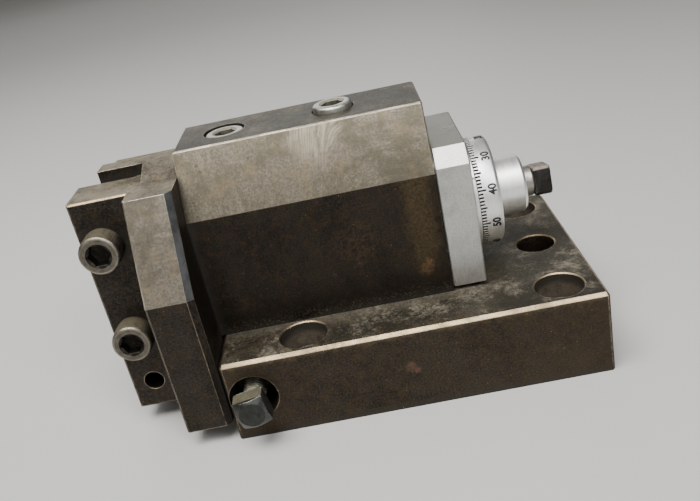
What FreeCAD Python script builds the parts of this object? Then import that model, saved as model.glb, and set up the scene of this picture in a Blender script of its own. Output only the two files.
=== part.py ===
import FreeCAD, Part
import math
import os
from FreeCAD import Rotation, Vector

# Adjustable tool post for a sliding-head lathe.
# Frame: origin at the centre of the base plate's underside, X along the feed (dial end at +X),
# Y from the front to the back, Z up. All sizes are in millimetres.

# Fits, as radial or side clearances
RUN_CLEAR = 0.05
THREAD_CLEAR = 0.03
BOLT_CLEAR = 0.3
PRESS = 0.02

# Base plate
BASE_LENGTH = 95.0
BASE_DEPTH = 65.0
BASE_HEIGHT = 22.0
BASE_EDGE = 0.8
BASE_CORNER = 0.6
MOUNT_CENTRE_X = 5.5
MOUNT_SPACING_X = 64.0
MOUNT_SPACING_Y = 49.0
MOUNT_HOLE_R = 3.3
MOUNT_SINK_R = 6.0
MOUNT_SINK_DEPTH = 7.0
CENTRE_BORE_X = 37.7
CENTRE_BORE_R = 5.0
HOLE_EDGE = 0.3

# T-slot in the base and the bar that runs in it
SLOT_NECK_HALF = 7.0
SLOT_HEAD_HALF = 12.0
SLOT_BOTTOM_Z = 6.0
SLOT_SHOULDER_Z = 15.0
SLOT_END_X = -3.0
BAR_X0 = -45.5
BAR_X1 = -4.5
BAR_SIDE_CLEAR = 0.3
BAR_NECK_CLEAR = 0.1
BAR_TOP_Z = 26.0

# Slide block
BLOCK_X0 = -48.2
BLOCK_X1 = 12.8
BLOCK_HALF = 17.5
BLOCK_KINK_Z = 54.0
BLOCK_TOP_Z = 70.0
BLOCK_LEAN = 7.1
BLOCK_EDGE = 0.35
LOCK_SCREW_X = (-36.4, -8.6)
LOCK_SCREW_SINKS = (6.3, 4.5)

# Feed axis, nut and screw (M8 x 1)
FEED_Z = 40.4
FEED_THREAD_R = 4.0
CAVITY_X0 = -2.0
CAVITY_HALF = 9.5
CAVITY_TOP_Z = 52.0
POST_X0 = -1.0
POST_X1 = 6.5
POST_HALF = 8.5
POST_TOP_Z = 50.0
POST_EDGE = 1.0
NUT_R = 6.0
POST_SCREW_Y = 5.0
POST_SCREW_TIP_Z = 31.0
SCREW_TIP_X = -1.5
COLLAR_R = 6.5
COLLAR_X0 = 13.05
COLLAR_X1 = 15.25
COLLAR_POCKET_R = 7.2
COLLAR_POCKET_X = 15.3
NECK_R = 4.0
NECK_END_X = 38.4
SQUARE_HALF = 3.75
SQUARE_ROUND_R = 4.8
SQUARE_TURN = 12.0
SQUARE_END_X = 43.0

# End bracket
BRACKET_X1 = 21.2
BRACKET_BOTTOM_Z = 23.2
BRACKET_TOP_Z = 59.0
BRACKET_BEVEL = 4.0
BRACKET_EDGE = 0.3
BRACKET_SCREW_Y = 12.9
BRACKET_SCREW_Z = (27.8, 52.6)
INDEX_LINE_WIDTH = 0.5
INDEX_LINE_LENGTH = 4.0
INDEX_LINE_DEPTH = 0.3

# Index ring on the bracket, dial and hub
INDEX_RING_X1 = 22.5
INDEX_RING_BORE_R = 8.0
INDEX_MARK_ANGLE = 35.0
DIAL_X0 = 22.6
DIAL_X1 = 28.2
DIAL_R = 14.2
DIAL_BEVEL = 1.0
HUB_X1 = 35.9
HUB_R = 7.5
HUB_BEVEL = 0.7
SPIGOT_R = 6.0
RING_X0 = 24.0
RING_X1 = 25.6
RING_DEPTH = 1.0
SET_SCREW_X = 30.2
SET_SCREW_R = 1.5
SET_SCREW_KEY = 1.5
SET_SCREW_KEY_DEPTH = 1.2
SET_SCREW_RECESS = 0.8
WASHER_R = 7.5

# Tool head on the left end of the block
HEAD_X0 = -59.8
HEAD_BOTTOM_Z = 4.9
HEAD_TOP_Z = 64.4
HEAD_FRONT_Y = -32.5
HEAD_KINK_Z = 40.8
HEAD_LEAN = 9.6
HEAD_EDGE_WIDE = 1.5
HEAD_EDGE = 0.4
JAW_X0 = -74.9
JAW_Y0 = -4.7
JAW_STEP_Z = 57.4
RIDGE_X0 = -69.2
RIDGE_Y1 = 1.0
RIDGE_TOP_Z = 67.3
RAMP_X0 = -57.5
RAMP_Y0 = -11.7
REAR_SCREW_Y = 10.0
REAR_SCREW_Z = (29.0, 49.0)
FRONT_SCREW_Y = -11.0
FRONT_SCREW_Z = (27.0, 58.5)
DOWEL_PLACES = ((-14.0, 33.0), (13.0, 42.0))
DOWEL_R = 2.0
DOWEL_HALF_LENGTH = 6.0
DOWEL_CENTRE_X = -47.2
TOOL_BORE_R = 8.0
TOOL_BORE_Y = -4.9
TOOL_BORE_Z = 40.0
TOOL_BORE_X1 = -48.9

# Clamp cap in front of the jaw
CAP_Y0 = -17.3
CAP_Y1 = -5.1
CAP_END_GAP = 0.1
CLAMP_SCREW_X = -69.1
CLAMP_SCREW_Z = (27.5, 52.5)
CLAMP_TIP_Y = 3.2
JACK_HOLE_X = -68.9
JACK_HOLE_Z = 12.6
JACK_HOLE_R = 2.6

# Side lock bolt (M6, square head) and its pad
LOCK_X = -41.1
LOCK_Z = 11.6
LOCK_SINK_R = 6.1
LOCK_SINK_DEPTH = 10.5
LOCK_FACE_Y = -39.7
LOCK_HEAD_HEIGHT = 5.2
LOCK_SQUARE_HALF = 3.75
LOCK_SQUARE_TURN = 10.0
LOCK_CROWN_R = 3.2
LOCK_CROWN_DEPTH = 1.4
LOCK_TIP_Y = -15.5
PAD_TIP_Y = -12.1

# Socket-head screws: thread radius, head radius, head height, key width, key depth
M4 = dict(r=2.0, head_r=3.5, head_h=4.0, key=3.0, key_depth=2.0)
M5 = dict(r=2.5, head_r=4.25, head_h=5.0, key=4.0, key_depth=2.5)
M6 = dict(r=3.0, head_r=5.0, head_h=6.0, key=5.0, key_depth=3.2)
SINK_MARGIN = 0.3
SCREW_EDGE = 0.4
THREAD_IN_BLOCK = 10.0


def box(x0, x1, y0, y1, z0, z1):
    """Box between two corners."""
    return Part.makeBox(x1 - x0, y1 - y0, z1 - z0, Vector(x0, y0, z0))


def rod_x(r, x0, x1, y, z):
    """Cylinder along X."""
    return Part.makeCylinder(r, x1 - x0, Vector(x0, y, z), Vector(1, 0, 0))


def rod_y(r, y0, y1, x, z):
    """Cylinder along Y."""
    return Part.makeCylinder(r, y1 - y0, Vector(x, y0, z), Vector(0, 1, 0))


def rod_z(r, z0, z1, x, y):
    """Cylinder along Z."""
    return Part.makeCylinder(r, z1 - z0, Vector(x, y, z0))


def cone_z(r0, r1, z0, z1, x, y):
    """Cone along Z, radius r0 at z0 and r1 at z1."""
    return Part.makeCone(r0, r1, z1 - z0, Vector(x, y, z0))


def prism_x(outline, x0, x1):
    """Solid along X over an outline of (y, z) points."""
    points = [Vector(x0, y, z) for y, z in outline]
    face = Part.Face(Part.makePolygon(points + points[:1]))
    return face.extrude(Vector(x1 - x0, 0, 0))


def hexagon(width, height):
    """Hexagonal prism on +Z, with a corner on +X."""
    corner = width / math.sqrt(3.0)
    angles = [math.radians(60.0 * i) for i in range(6)]
    points = [Vector(corner * math.cos(a), corner * math.sin(a), 0) for a in angles]
    return Part.Face(Part.makePolygon(points + points[:1])).extrude(Vector(0, 0, height))


def place(shape, point, outward):
    """Put a shape made on +Z at a point, with its +Z turned to the outward direction."""
    moved = shape.copy()
    moved.Placement = FreeCAD.Placement(Vector(*point), Rotation(Vector(0, 0, 1), Vector(*outward)))
    return moved


def bevelled(shape, size, wanted):
    """Chamfer the straight edges for which wanted(start, end) is true."""
    edges = []
    for edge in shape.Edges:
        start, end = edge.Vertexes[0].Point, edge.Vertexes[-1].Point
        if wanted(start, end):
            edges.append(edge)
    return shape.makeChamfer(size, edges)


def near(a, b):
    return abs(a - b) < 1e-6


def both_at(axis, value):
    """Edge test: both ends have this coordinate."""
    def test(start, end):
        return near(getattr(start, axis), value) and near(getattr(end, axis), value)
    return test


def socket_screw(size, length):
    """Socket-head screw with its seat at z = 0, head above it and thread below."""
    head = Part.makeCylinder(size["head_r"], size["head_h"])
    rim = [edge for edge in head.Edges if near(edge.BoundBox.ZMin, size["head_h"])]
    head = head.makeChamfer(SCREW_EDGE, rim)
    thread = rod_z(size["r"], -length + SCREW_EDGE, 0, 0, 0)
    tip = cone_z(size["r"] - SCREW_EDGE, size["r"], -length, -length + SCREW_EDGE, 0, 0)
    socket = hexagon(size["key"], size["key_depth"])
    socket.translate(Vector(0, 0, size["head_h"] - size["key_depth"]))
    return head.fuse([thread, tip]).removeSplitter().cut(socket)


def bolt_hole(size, sink_depth, through):
    """Cutter for a socket screw: mouth at z = 0, counterbore and clearance hole below."""
    sink = rod_z(size["head_r"] + SINK_MARGIN, -sink_depth, 1, 0, 0)
    hole = rod_z(size["r"] + BOLT_CLEAR, -through, 0, 0, 0)
    return sink.fuse(hole)


def mount_places():
    """Centres of the four base mounting holes."""
    return [(MOUNT_CENTRE_X + sx * MOUNT_SPACING_X / 2, sy * MOUNT_SPACING_Y / 2)
            for sx in (-1, 1) for sy in (-1, 1)]


def post_screw_places():
    return [((POST_X0 + POST_X1) / 2, side * POST_SCREW_Y) for side in (-1, 1)]


def base_plate():
    half_x, half_y = BASE_LENGTH / 2, BASE_DEPTH / 2
    plate = box(-half_x, half_x, -half_y, half_y, 0, BASE_HEIGHT)
    plate = bevelled(plate, BASE_CORNER, lambda a, b: not near(a.z, b.z))
    plate = bevelled(plate, BASE_EDGE, both_at("z", BASE_HEIGHT))
    cuts = [box(-half_x - 1, SLOT_END_X, -SLOT_HEAD_HALF, SLOT_HEAD_HALF, SLOT_BOTTOM_Z, SLOT_SHOULDER_Z),
            box(-half_x - 1, SLOT_END_X, -SLOT_NECK_HALF, SLOT_NECK_HALF, SLOT_BOTTOM_Z, BASE_HEIGHT + 1)]
    for x, y in mount_places():
        cuts.append(rod_z(MOUNT_HOLE_R, -1, BASE_HEIGHT, x, y))
        cuts.append(rod_z(MOUNT_SINK_R, BASE_HEIGHT - MOUNT_SINK_DEPTH, BASE_HEIGHT + 1, x, y))
        cuts.append(cone_z(MOUNT_SINK_R, MOUNT_SINK_R + HOLE_EDGE, BASE_HEIGHT - HOLE_EDGE, BASE_HEIGHT,
                           x, y))
    cuts.append(rod_z(CENTRE_BORE_R, -1, BASE_HEIGHT + 1, CENTRE_BORE_X, 0))
    cuts.append(cone_z(CENTRE_BORE_R, CENTRE_BORE_R + HOLE_EDGE, BASE_HEIGHT - HOLE_EDGE, BASE_HEIGHT,
                       CENTRE_BORE_X, 0))
    for x, y in post_screw_places():
        hole = bolt_hole(M5, M5["head_h"] + SINK_MARGIN, BASE_HEIGHT + 1)
        cuts.append(place(hole, (x, y, 0), (0, 0, -1)))
    cuts.append(rod_y(LOCK_SINK_R, -half_y - 1, -half_y + LOCK_SINK_DEPTH, LOCK_X, LOCK_Z))
    cuts.append(rod_y(M6["r"] + RUN_CLEAR, -half_y, -SLOT_HEAD_HALF + 1, LOCK_X, LOCK_Z))
    return plate.cut(cuts)


def feed_nut_post():
    post = box(POST_X0, POST_X1, -POST_HALF, POST_HALF, BASE_HEIGHT, POST_TOP_Z)
    post = bevelled(post, POST_EDGE, both_at("z", POST_TOP_Z))
    cuts = [rod_x(NUT_R, POST_X0 - 1, POST_X1 + 1, 0, FEED_Z)]
    for x, y in post_screw_places():
        cuts.append(rod_z(M5["r"] + THREAD_CLEAR, BASE_HEIGHT - 1, POST_SCREW_TIP_Z + 0.5, x, y))
    return post.cut(cuts)


def feed_nut():
    nut = rod_x(NUT_R + PRESS, POST_X0, POST_X1, 0, FEED_Z)
    return nut.cut(rod_x(FEED_THREAD_R + RUN_CLEAR, POST_X0 - 1, POST_X1 + 1, 0, FEED_Z))


def nut_post_screws():
    seat_z = M5["head_h"] + SINK_MARGIN
    screw = socket_screw(M5, POST_SCREW_TIP_Z - seat_z)
    return Part.makeCompound([place(screw, (x, y, seat_z), (0, 0, -1)) for x, y in post_screw_places()])


def lock_pad():
    return rod_y(M6["r"], LOCK_TIP_Y, PAD_TIP_Y, LOCK_X, LOCK_Z)


def lock_bolt():
    """Square-headed bolt on +Z with its crowned end at z = 0, then turned to face the front."""
    half = LOCK_SQUARE_HALF
    corner = half * math.sqrt(2.0)
    head = box(-half, half, -half, half, -LOCK_HEAD_HEIGHT, 0)
    head.rotate(Vector(0, 0, 0), Vector(0, 0, 1), LOCK_SQUARE_TURN)
    crown = cone_z(corner, LOCK_CROWN_R, -LOCK_CROWN_DEPTH, 0, 0, 0)
    crown = crown.fuse(rod_z(corner, -LOCK_HEAD_HEIGHT, -LOCK_CROWN_DEPTH, 0, 0))
    head = head.common(crown)
    length = LOCK_TIP_Y - LOCK_FACE_Y
    thread = rod_z(M6["r"], -length, -LOCK_HEAD_HEIGHT, 0, 0)
    return place(head.fuse(thread), (LOCK_X, LOCK_FACE_Y, LOCK_Z), (0, -1, 0))


def t_guide_bar():
    half = SLOT_HEAD_HALF - BAR_SIDE_CLEAR
    neck = SLOT_NECK_HALF - BAR_NECK_CLEAR
    shoulder_z = SLOT_SHOULDER_Z - BAR_NECK_CLEAR
    foot = box(BAR_X0, BAR_X1, -half, half, SLOT_BOTTOM_Z + BAR_SIDE_CLEAR, shoulder_z)
    tongue = box(BAR_X0, BAR_X1, -neck, neck, shoulder_z, BAR_TOP_Z)
    cuts = [rod_z(M6["r"] + RUN_CLEAR, SLOT_BOTTOM_Z, BAR_TOP_Z + 1, x, 0) for x in LOCK_SCREW_X]
    return foot.fuse(tongue).removeSplitter().cut(cuts)


def slide_block():
    outline = [(-BLOCK_HALF, BASE_HEIGHT), (BLOCK_HALF, BASE_HEIGHT), (BLOCK_HALF, BLOCK_KINK_Z),
               (BLOCK_HALF - BLOCK_LEAN, BLOCK_TOP_Z), (-BLOCK_HALF + BLOCK_LEAN, BLOCK_TOP_Z),
               (-BLOCK_HALF, BLOCK_KINK_Z)]
    block = prism_x(outline, BLOCK_X0, BLOCK_X1)

    def outer_edge(a, b):
        along_top = near(a.z, BLOCK_TOP_Z) and near(b.z, BLOCK_TOP_Z)
        right_end = near(a.x, BLOCK_X1) and near(b.x, BLOCK_X1) and max(a.z, b.z) > BASE_HEIGHT
        return along_top or right_end
    block = bevelled(block, BLOCK_EDGE, outer_edge)
    neck = SLOT_NECK_HALF - BAR_NECK_CLEAR
    cuts = [box(BLOCK_X0 - 1, CAVITY_X0, -neck, neck, BASE_HEIGHT - 1, BAR_TOP_Z),
            box(CAVITY_X0, BLOCK_X1 + 1, -CAVITY_HALF, CAVITY_HALF, BASE_HEIGHT - 1, CAVITY_TOP_Z)]
    for x, depth in zip(LOCK_SCREW_X, LOCK_SCREW_SINKS):
        hole = bolt_hole(M6, depth, BLOCK_TOP_Z - BASE_HEIGHT)
        cuts.append(place(hole, (x, 0, BLOCK_TOP_Z), (0, 0, 1)))
    for y, z in head_screw_places():
        cuts.append(rod_x(M6["r"] + THREAD_CLEAR, BLOCK_X0 - 1, BLOCK_X0 + THREAD_IN_BLOCK + 1, y, z))
    for y, z in bracket_screw_places():
        cuts.append(rod_x(M4["r"] + THREAD_CLEAR, BLOCK_X1 - THREAD_IN_BLOCK, BLOCK_X1 + 1, y, z))
    cuts.extend(dowel_pins(THREAD_CLEAR))
    return block.cut(cuts)


def slide_lock_screw(index):
    seat_z = BLOCK_TOP_Z - LOCK_SCREW_SINKS[index]
    screw = socket_screw(M6, seat_z - SLOT_BOTTOM_Z - 1.5)
    return place(screw, (LOCK_SCREW_X[index], 0, seat_z), (0, 0, 1))


def bracket_screw_places():
    return [(side * BRACKET_SCREW_Y, z) for side in (-1, 1) for z in BRACKET_SCREW_Z]


def end_bracket():
    outline = [(-BLOCK_HALF, BRACKET_BOTTOM_Z), (BLOCK_HALF, BRACKET_BOTTOM_Z),
               (BLOCK_HALF, BRACKET_TOP_Z - BRACKET_BEVEL), (BLOCK_HALF - BRACKET_BEVEL, BRACKET_TOP_Z),
               (-BLOCK_HALF + BRACKET_BEVEL, BRACKET_TOP_Z), (-BLOCK_HALF, BRACKET_TOP_Z - BRACKET_BEVEL)]
    bracket = prism_x(outline, BLOCK_X1, BRACKET_X1)
    bracket = bevelled(bracket, BRACKET_EDGE, lambda a, b: near(a.x, b.x))
    cuts = [rod_x(COLLAR_POCKET_R, BLOCK_X1 - 1, COLLAR_POCKET_X, 0, FEED_Z),
            rod_x(NUT_R, BLOCK_X1, BRACKET_X1 + 1, 0, FEED_Z),
            box(BRACKET_X1 - INDEX_LINE_LENGTH, BRACKET_X1 + 1, -INDEX_LINE_WIDTH / 2, INDEX_LINE_WIDTH / 2,
                BRACKET_TOP_Z - INDEX_LINE_DEPTH, BRACKET_TOP_Z + 1)]
    for y, z in bracket_screw_places():
        hole = bolt_hole(M4, M4["head_h"] + SINK_MARGIN, BRACKET_X1 - BLOCK_X1 + 1)
        cuts.append(place(hole, (BRACKET_X1, y, z), (1, 0, 0)))
    return bracket.cut(cuts)


def bracket_screws():
    seat_x = BRACKET_X1 - M4["head_h"] - SINK_MARGIN
    screw = socket_screw(M4, seat_x - BLOCK_X1 + THREAD_IN_BLOCK - 1.0)
    return Part.makeCompound([place(screw, (seat_x, y, z), (1, 0, 0)) for y, z in bracket_screw_places()])


def screw_bush():
    bush = rod_x(NUT_R + PRESS, COLLAR_POCKET_X, BRACKET_X1, 0, FEED_Z)
    return bush.cut(rod_x(FEED_THREAD_R + RUN_CLEAR, COLLAR_POCKET_X - 1, BRACKET_X1 + 1, 0, FEED_Z))


def feed_screw():
    body = rod_x(FEED_THREAD_R, SCREW_TIP_X, HUB_X1 - 1, 0, FEED_Z)
    neck = rod_x(NECK_R, HUB_X1 - 1, NECK_END_X, 0, FEED_Z)
    square = box(NECK_END_X, SQUARE_END_X, -SQUARE_HALF, SQUARE_HALF,
                 FEED_Z - SQUARE_HALF, FEED_Z + SQUARE_HALF)
    square = bevelled(square, SCREW_EDGE, both_at("x", SQUARE_END_X))
    square = square.common(rod_x(SQUARE_ROUND_R, NECK_END_X, SQUARE_END_X, 0, FEED_Z))
    square.rotate(Vector(0, 0, FEED_Z), Vector(1, 0, 0), -SQUARE_TURN)
    return body.fuse([neck, square]).removeSplitter()


def thrust_collar():
    collar = rod_x(COLLAR_R, COLLAR_X0, COLLAR_X1, 0, FEED_Z)
    return collar.cut(rod_x(FEED_THREAD_R - PRESS, COLLAR_X0 - 1, COLLAR_X1 + 1, 0, FEED_Z))


def index_ring():
    """Fixed ring beside the dial, with one line across its rim."""
    ring = rod_x(DIAL_R, BRACKET_X1, INDEX_RING_X1, 0, FEED_Z)
    mark = box(BRACKET_X1, INDEX_RING_X1 + 1, -DIAL_R - 1, -DIAL_R + INDEX_LINE_DEPTH,
               FEED_Z - INDEX_LINE_WIDTH / 2, FEED_Z + INDEX_LINE_WIDTH / 2)
    mark.rotate(Vector(0, 0, FEED_Z), Vector(1, 0, 0), -INDEX_MARK_ANGLE)
    return ring.cut([mark, rod_x(INDEX_RING_BORE_R, BRACKET_X1 - 1, INDEX_RING_X1 + 1, 0, FEED_Z)])


def thrust_washer():
    washer = rod_x(WASHER_R, BRACKET_X1 + RUN_CLEAR, DIAL_X0 - RUN_CLEAR, 0, FEED_Z)
    return washer.cut(rod_x(FEED_THREAD_R + RUN_CLEAR, BRACKET_X1, DIAL_X0, 0, FEED_Z))


def dial_hub():
    knob = rod_x(HUB_R, DIAL_X1 + RUN_CLEAR, HUB_X1, 0, FEED_Z)
    knob = knob.makeChamfer(HUB_BEVEL, [edge for edge in knob.Edges if near(edge.BoundBox.XMin, HUB_X1)])
    spigot = rod_x(SPIGOT_R, DIAL_X0, DIAL_X1 + RUN_CLEAR, 0, FEED_Z)
    groove = rod_x(SPIGOT_R + 1, RING_X0, RING_X1, 0, FEED_Z)
    groove = groove.cut(rod_x(SPIGOT_R - RING_DEPTH, RING_X0, RING_X1, 0, FEED_Z))
    cuts = [groove, rod_x(FEED_THREAD_R - PRESS, DIAL_X0 - 1, HUB_X1 - 1, 0, FEED_Z),
            rod_x(NECK_R + RUN_CLEAR, HUB_X1 - 1, HUB_X1 + 1, 0, FEED_Z),
            rod_y(SET_SCREW_R + THREAD_CLEAR, 0, HUB_R + 1, SET_SCREW_X, FEED_Z)]
    return knob.fuse(spigot).removeSplitter().cut(cuts)


def dial_set_screw():
    end_y = HUB_R - SET_SCREW_RECESS
    screw = rod_y(SET_SCREW_R, 0, end_y, SET_SCREW_X, FEED_Z)
    socket = hexagon(SET_SCREW_KEY, SET_SCREW_KEY_DEPTH)
    socket = place(socket, (SET_SCREW_X, end_y - SET_SCREW_KEY_DEPTH, FEED_Z), (0, 1, 0))
    return screw.cut([socket, rod_x(FEED_THREAD_R, DIAL_X1, HUB_X1, 0, FEED_Z)])


def dial_friction_ring():
    """Ring in the spigot's groove that the dial grips."""
    ring = rod_x(SPIGOT_R, RING_X0 + 0.1, RING_X1 - 0.1, 0, FEED_Z)
    return ring.cut(rod_x(SPIGOT_R - RING_DEPTH, RING_X0, RING_X1, 0, FEED_Z))


def dial_ring():
    ring = rod_x(DIAL_R, DIAL_X0, DIAL_X1, 0, FEED_Z)
    ring = ring.makeChamfer(DIAL_BEVEL, [edge for edge in ring.Edges if near(edge.BoundBox.XMin, DIAL_X1)])
    return ring.cut(rod_x(SPIGOT_R + RUN_CLEAR, DIAL_X0 - 1, DIAL_X1 + 1, 0, FEED_Z))


def front_screw_places():
    return [(FRONT_SCREW_Y, z) for z in FRONT_SCREW_Z]


def rear_screw_places():
    return [(REAR_SCREW_Y, z) for z in REAR_SCREW_Z]


def head_screw_places():
    return front_screw_places() + rear_screw_places()


def head_back_y(z):
    """The head's back follows the leaning back of the block."""
    return BLOCK_HALF - BLOCK_LEAN * (z - BLOCK_KINK_Z) / (BLOCK_TOP_Z - BLOCK_KINK_Z)


def tool_head():
    back = [(BLOCK_HALF, BLOCK_KINK_Z), (BLOCK_HALF, HEAD_BOTTOM_Z)]
    top_back = (head_back_y(HEAD_TOP_Z), HEAD_TOP_Z)
    plate = prism_x([(HEAD_FRONT_Y, HEAD_BOTTOM_Z), (HEAD_FRONT_Y, HEAD_KINK_Z),
                     (HEAD_FRONT_Y + HEAD_LEAN, HEAD_TOP_Z), top_back] + back, HEAD_X0, BLOCK_X0)

    def front_edge(x):
        def test(a, b):
            ends_forward = max(a.y, b.y) < HEAD_FRONT_Y + HEAD_LEAN + 1e-6
            return near(a.x, x) and near(b.x, x) and ends_forward and not near(a.z, b.z)
        return test
    plate = bevelled(plate, HEAD_EDGE_WIDE, front_edge(BLOCK_X0))
    plate = bevelled(plate, HEAD_EDGE, front_edge(HEAD_X0))
    jaw = prism_x([(JAW_Y0, HEAD_BOTTOM_Z), (JAW_Y0, HEAD_TOP_Z), top_back] + back, JAW_X0, HEAD_X0)
    ridge = box(RIDGE_X0, BLOCK_X0, JAW_Y0, RIDGE_Y1, HEAD_TOP_Z, RIDGE_TOP_Z)
    ramp = prism_x([(RAMP_Y0, HEAD_TOP_Z), (JAW_Y0, RIDGE_TOP_Z), (JAW_Y0, HEAD_TOP_Z)], RAMP_X0, BLOCK_X0)
    head = plate.fuse([jaw, ridge, ramp]).removeSplitter()
    step = box(JAW_X0 - 1, RIDGE_X0, JAW_Y0 - 1, BLOCK_HALF + 1, JAW_STEP_Z, RIDGE_TOP_Z)
    cuts = [step, rod_x(TOOL_BORE_R, JAW_X0 - 1, TOOL_BORE_X1, TOOL_BORE_Y, TOOL_BORE_Z)]
    for y, z in front_screw_places():
        hole = bolt_hole(M6, M6["head_h"] + SINK_MARGIN, BLOCK_X0 - HEAD_X0 + 1)
        cuts.append(place(hole, (HEAD_X0, y, z), (-1, 0, 0)))
    for y, z in rear_screw_places():
        hole = bolt_hole(M6, M6["head_h"] + SINK_MARGIN, BLOCK_X0 - JAW_X0 + 1)
        cuts.append(place(hole, (JAW_X0, y, z), (-1, 0, 0)))
    for z in CLAMP_SCREW_Z:
        cuts.append(rod_y(M6["r"] + RUN_CLEAR, JAW_Y0 - 1, CLAMP_TIP_Y + 0.7, CLAMP_SCREW_X, z))
    cuts.extend(dowel_pins(THREAD_CLEAR))
    return head.cut(cuts)


def head_screws(places, face_x):
    seat_x = face_x + M6["head_h"] + SINK_MARGIN
    screw = socket_screw(M6, BLOCK_X0 - seat_x + THREAD_IN_BLOCK)
    return Part.makeCompound([place(screw, (seat_x, y, z), (-1, 0, 0)) for y, z in places])


def dowel_pins(clearance=0.0):
    x0, x1 = DOWEL_CENTRE_X - DOWEL_HALF_LENGTH, DOWEL_CENTRE_X + DOWEL_HALF_LENGTH
    return [rod_x(DOWEL_R + clearance, x0 - clearance, x1 + clearance, y, z) for y, z in DOWEL_PLACES]


def clamp_cap():
    cap = box(JAW_X0, HEAD_X0 - CAP_END_GAP, CAP_Y0, CAP_Y1, HEAD_BOTTOM_Z, HEAD_TOP_Z)
    cap = bevelled(cap, HEAD_EDGE, both_at("y", CAP_Y0))
    cuts = [rod_x(TOOL_BORE_R, JAW_X0 - 1, HEAD_X0 + 1, TOOL_BORE_Y, TOOL_BORE_Z),
            rod_y(JACK_HOLE_R, CAP_Y0 - 1, CAP_Y1 + 1, JACK_HOLE_X, JACK_HOLE_Z)]
    for z in CLAMP_SCREW_Z:
        cuts.append(rod_y(M6["r"] + BOLT_CLEAR, CAP_Y0 - 1, CAP_Y1 + 1, CLAMP_SCREW_X, z))
    return cap.cut(cuts)


def clamp_screw(z):
    screw = socket_screw(M6, CLAMP_TIP_Y - CAP_Y0)
    return place(screw, (CLAMP_SCREW_X, CAP_Y0, z), (0, -1, 0))


NODES = {
    "base_plate": base_plate,
    "feed_nut_post": feed_nut_post,
    "feed_nut": feed_nut,
    "nut_post_screws": nut_post_screws,
    "lock_pad": lock_pad,
    "lock_bolt": lock_bolt,
    "t_guide_bar": t_guide_bar,
    "slide_block": slide_block,
    "slide_lock_screw_left": lambda: slide_lock_screw(0),
    "slide_lock_screw_right": lambda: slide_lock_screw(1),
    "end_bracket": end_bracket,
    "bracket_screws": bracket_screws,
    "screw_bush": screw_bush,
    "feed_screw": feed_screw,
    "thrust_collar": thrust_collar,
    "index_ring": index_ring,
    "thrust_washer": thrust_washer,
    "dial_hub": dial_hub,
    "dial_set_screw": dial_set_screw,
    "dial_friction_ring": dial_friction_ring,
    "dial_ring": dial_ring,
    "tool_head": tool_head,
    "head_screws_front": lambda: head_screws(front_screw_places(), HEAD_X0),
    "head_screws_rear": lambda: head_screws(rear_screw_places(), JAW_X0),
    "head_dowels": lambda: Part.makeCompound(dowel_pins()),
    "clamp_cap": clamp_cap,
    "clamp_screw_lower": lambda: clamp_screw(CLAMP_SCREW_Z[0]),
    "clamp_screw_upper": lambda: clamp_screw(CLAMP_SCREW_Z[1]),
}

os.makedirs("parts", exist_ok=True)
for name, build in NODES.items():
    shape = build()
    if not shape.isValid():
        raise SystemExit(f"{name} is not valid")
    shape.exportStep(f"parts/{name}.step")
    print(f"{name}: {len(shape.Solids)} solid(s), {shape.Volume / 1000:.2f} cm3")
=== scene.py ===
import math

import bpy
from mathutils import Matrix, Vector


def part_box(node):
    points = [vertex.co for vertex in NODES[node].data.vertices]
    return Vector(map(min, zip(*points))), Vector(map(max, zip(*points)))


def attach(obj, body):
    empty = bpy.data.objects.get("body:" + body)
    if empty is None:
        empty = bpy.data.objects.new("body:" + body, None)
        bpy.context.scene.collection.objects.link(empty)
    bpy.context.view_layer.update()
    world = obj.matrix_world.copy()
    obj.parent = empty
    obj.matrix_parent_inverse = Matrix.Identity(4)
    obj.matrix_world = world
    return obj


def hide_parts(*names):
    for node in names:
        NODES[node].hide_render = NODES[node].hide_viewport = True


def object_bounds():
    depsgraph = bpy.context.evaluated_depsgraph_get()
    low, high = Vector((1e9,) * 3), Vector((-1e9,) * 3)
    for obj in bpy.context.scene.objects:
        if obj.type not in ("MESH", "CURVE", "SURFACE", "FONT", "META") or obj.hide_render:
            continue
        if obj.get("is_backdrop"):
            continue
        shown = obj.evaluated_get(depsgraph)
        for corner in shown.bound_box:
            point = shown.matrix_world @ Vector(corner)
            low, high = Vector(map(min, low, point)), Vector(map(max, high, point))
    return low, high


# Adjustable tool post for a sliding-head lathe, dressed over its CAD frame.
# The frame is in metres; the helpers below take millimetres and convert with MM.
MM = 0.001

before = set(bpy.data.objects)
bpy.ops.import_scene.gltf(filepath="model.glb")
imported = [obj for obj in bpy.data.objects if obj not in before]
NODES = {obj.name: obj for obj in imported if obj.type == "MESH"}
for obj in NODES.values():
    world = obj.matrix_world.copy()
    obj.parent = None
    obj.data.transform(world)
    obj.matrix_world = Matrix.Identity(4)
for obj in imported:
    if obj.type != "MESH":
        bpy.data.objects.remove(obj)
cad_low, cad_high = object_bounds()


# ---------------------------------------------------------------- shader helpers

BEVEL_SAMPLES = 6
OCCLUSION_SAMPLES = 8
SCALAR_RESULTS = ("DOT_PRODUCT", "LENGTH", "DISTANCE")


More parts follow.
